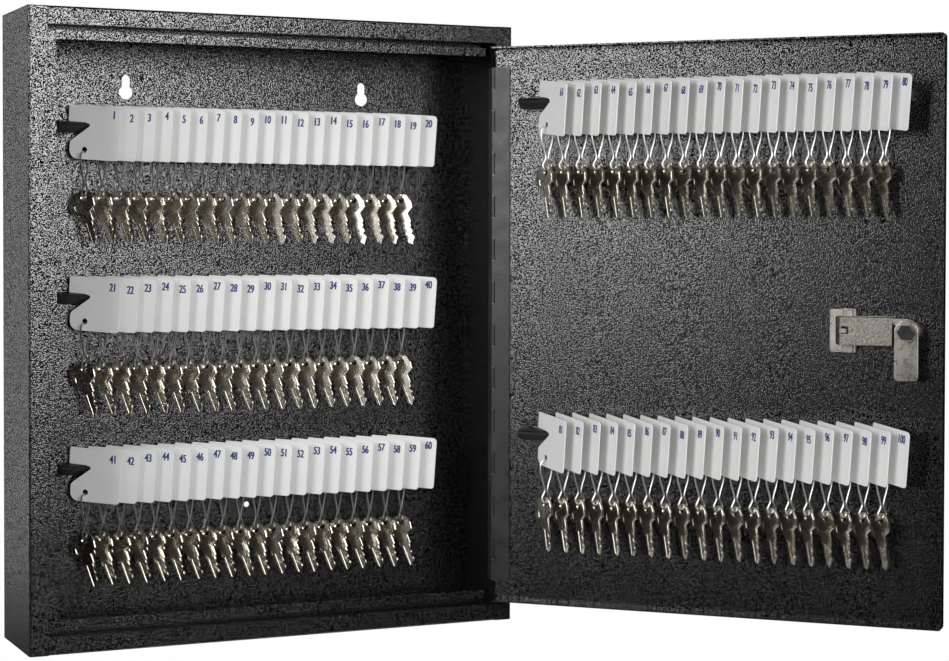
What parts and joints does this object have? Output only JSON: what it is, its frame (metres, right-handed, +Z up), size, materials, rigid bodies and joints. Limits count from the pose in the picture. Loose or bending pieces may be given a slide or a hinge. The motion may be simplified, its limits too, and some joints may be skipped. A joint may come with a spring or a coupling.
{
  "type": "key cabinet",
  "caption": "Wall key cabinet: folded steel body, door on a piano hinge with a combination cam lock, and beak-section racks holding hooked tags with wire snaps and keys.",
  "frame": {"origin": "centre of the flat back face, on the wall", "axes": "+X to the right seen from the front, +Y into the wall, +Z up; the door's hinge pin is on the right at the front"},
  "size_m": [0.5693, 0.3208, 0.435],
  "materials": {
    "body_paint": "fine wrinkle powder coat, black",
    "hinge_paint": "satin black paint",
    "pin_steel": "bright drawn",
    "rack_paint": "satin black paint",
    "rail_black": "smooth matt",
    "tag_white": "smooth matt",
    "tag_ink": "hot-stamped",
    "snap_wire": "bright",
    "key_nickel": "nickel plate, satin",
    "lock_satin": "satin nickel",
    "lock_zinc": "as cast, satin",
    "lock_nickel": "nickel plate",
    "nut_black": "black oxide",
    "dial_black": "moulded"
  },
  "bodies": {
    "cabinet": {"side_panel_left": "body_paint", "side_panel_right": "body_paint", "top_panel": "body_paint", "bottom_panel": "body_paint", "back_panel": "body_paint", "door_stop": "body_paint", "hinge_body_leaf": "hinge_paint", "body_rack_1_strip": "rack_paint", "body_rack_1_rail": "rail_black", "body_rack_1_rivets": "rack_paint", "body_rack_1_tags": "tag_white", "body_rack_1_snaps": "snap_wire", "body_rack_1_keys": "key_nickel", "body_rack_2_strip": "rack_paint", "body_rack_2_rail": "rail_black", "body_rack_2_rivets": "rack_paint", "body_rack_2_tags": "tag_white", "body_rack_2_snaps": "snap_wire", "body_rack_2_keys": "key_nickel", "body_rack_3_strip": "rack_paint", "body_rack_3_rail": "rail_black", "body_rack_3_rivets": "rack_paint", "body_rack_3_tags": "tag_white", "body_rack_3_snaps": "snap_wire", "body_rack_3_keys": "key_nickel"},
    "door": {"door_pan": "body_paint", "hinge_door_leaf": "hinge_paint", "hinge_pin": "pin_steel", "door_rack_1_strip": "rack_paint", "door_rack_1_rail": "rail_black", "door_rack_1_rivets": "rack_paint", "door_rack_1_tags": "tag_white", "door_rack_1_snaps": "snap_wire", "door_rack_1_keys": "key_nickel", "door_rack_2_strip": "rack_paint", "door_rack_2_rail": "rail_black", "door_rack_2_rivets": "rack_paint", "door_rack_2_tags": "tag_white", "door_rack_2_snaps": "snap_wire", "door_rack_2_keys": "key_nickel", "lock_bezel": "lock_satin", "lock_housing": "lock_zinc", "lock_clip": "lock_nickel", "lock_dial_rod": "pin_steel", "lock_dial_spring": "pin_steel", "lock_cam_stop_plate": "lock_nickel"},
    "cam_and_knob": {"lock_knob_spindle": "lock_satin", "lock_cam": "lock_nickel", "lock_cam_washer": "lock_nickel", "lock_cam_nut": "nut_black"},
    "dial_1": {"lock_dial_1": "dial_black"},
    "dial_2": {"lock_dial_2": "dial_black"},
    "dial_3": {"lock_dial_3": "dial_black"},
    "dial_4": {"lock_dial_4": "dial_black"},
    "code_lever": {"lock_code_lever": "lock_nickel"},
    "tag_20": {"loose_tag_20": "tag_white"},
    "snap_20": {"loose_snap_20": "snap_wire"},
    "key_20": {"loose_key_20": "key_nickel"}
  },
  "joints": [
    {"name": "door_hinge", "type": "hinge", "parent": "cabinet", "child": "door", "pos_m": [0.163, -0.0794, 0], "axis": [0, 0, 1], "range_deg": [-134.5, 35]},
    {"name": "cam_turn", "type": "hinge", "parent": "door", "child": "cam_and_knob", "pos_m": [0.36568, -0.30505, 0], "axis": [-0.7133, -0.7009, 0], "range_deg": [0, 90]},
    {"name": "dial_1_turn", "type": "hinge", "parent": "door", "child": "dial_1", "pos_m": [0.34573, -0.26962, 0], "axis": [0.7009, -0.7133, 0], "continuous": true},
    {"name": "dial_2_turn", "type": "hinge", "parent": "door", "child": "dial_2", "pos_m": [0.35098, -0.27497, 0], "axis": [0.7009, -0.7133, 0], "continuous": true},
    {"name": "dial_3_turn", "type": "hinge", "parent": "door", "child": "dial_3", "pos_m": [0.35624, -0.28032, 0], "axis": [0.7009, -0.7133, 0], "continuous": true},
    {"name": "dial_4_turn", "type": "hinge", "parent": "door", "child": "dial_4", "pos_m": [0.3615, -0.28567, 0], "axis": [0.7009, -0.7133, 0], "continuous": true},
    {"name": "code_lever_slide", "type": "slide", "parent": "door", "child": "code_lever", "axis": [0.7009, -0.7133, 0], "range_m": [0, 0.001]},
    {"name": "tag_20_pull", "type": "slide", "parent": "cabinet", "child": "tag_20", "axis": [0.8192, -0.5736, 0], "range_m": [0, 0.022]},
    {"name": "snap_20_swing", "type": "hinge", "parent": "tag_20", "child": "snap_20", "pos_m": [0.11803, -0.01306, 0.12449], "axis": [0.5736, 0.8192, 0], "range_deg": [-25, 5]},
    {"name": "key_20_swing", "type": "hinge", "parent": "snap_20", "child": "key_20", "pos_m": [0.11803, -0.01306, 0.09229], "axis": [0.7551, 0.6556, 0], "range_deg": [-25, 10]}
  ]
}
